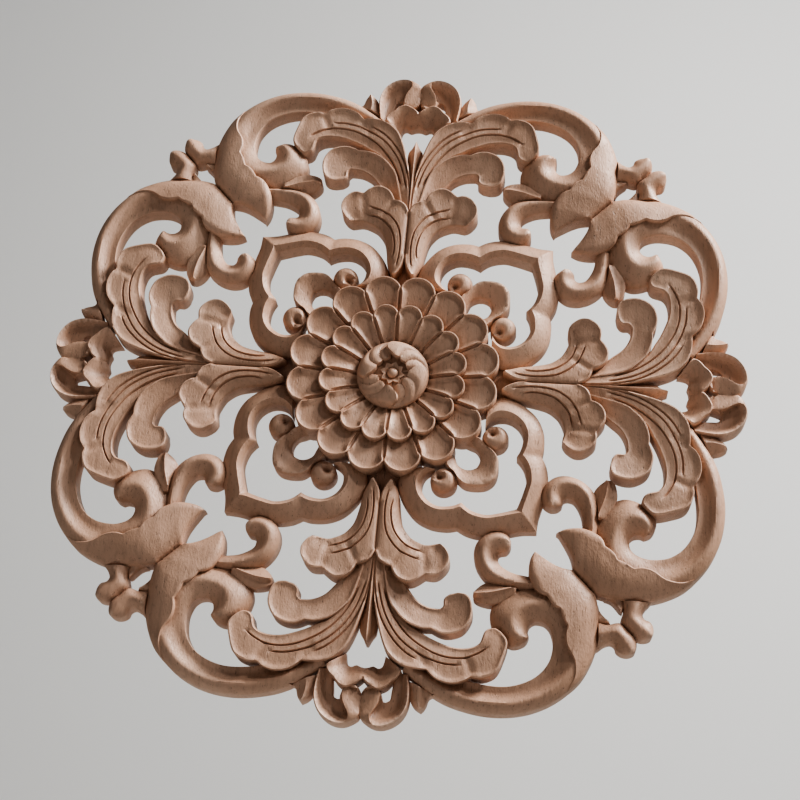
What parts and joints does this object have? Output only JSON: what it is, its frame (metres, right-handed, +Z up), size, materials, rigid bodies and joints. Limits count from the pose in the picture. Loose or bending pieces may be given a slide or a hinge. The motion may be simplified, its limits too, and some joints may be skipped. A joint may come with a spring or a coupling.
{
  "type": "carved wooden rosette",
  "caption": "Openwork carved rosette with a flat back: petalled centre, veined leaves and scrolls, fixed flat to a wall, door, ceiling or panel.",
  "frame": {"origin": "centre of the flat back, at the mount named back", "axes": "+Y goes through the thickness towards the wall behind, so the carved face looks along -Y; +Z is up along one leaf arm; +X is along the arm to the right"},
  "size_m": [0.3906, 0.0191, 0.3906],
  "materials": {
    "wood": "raw, unpainted, finely sanded, matt"
  },
  "bodies": {
    "root": {"rosette": "wood"}
  },
  "joints": []
}
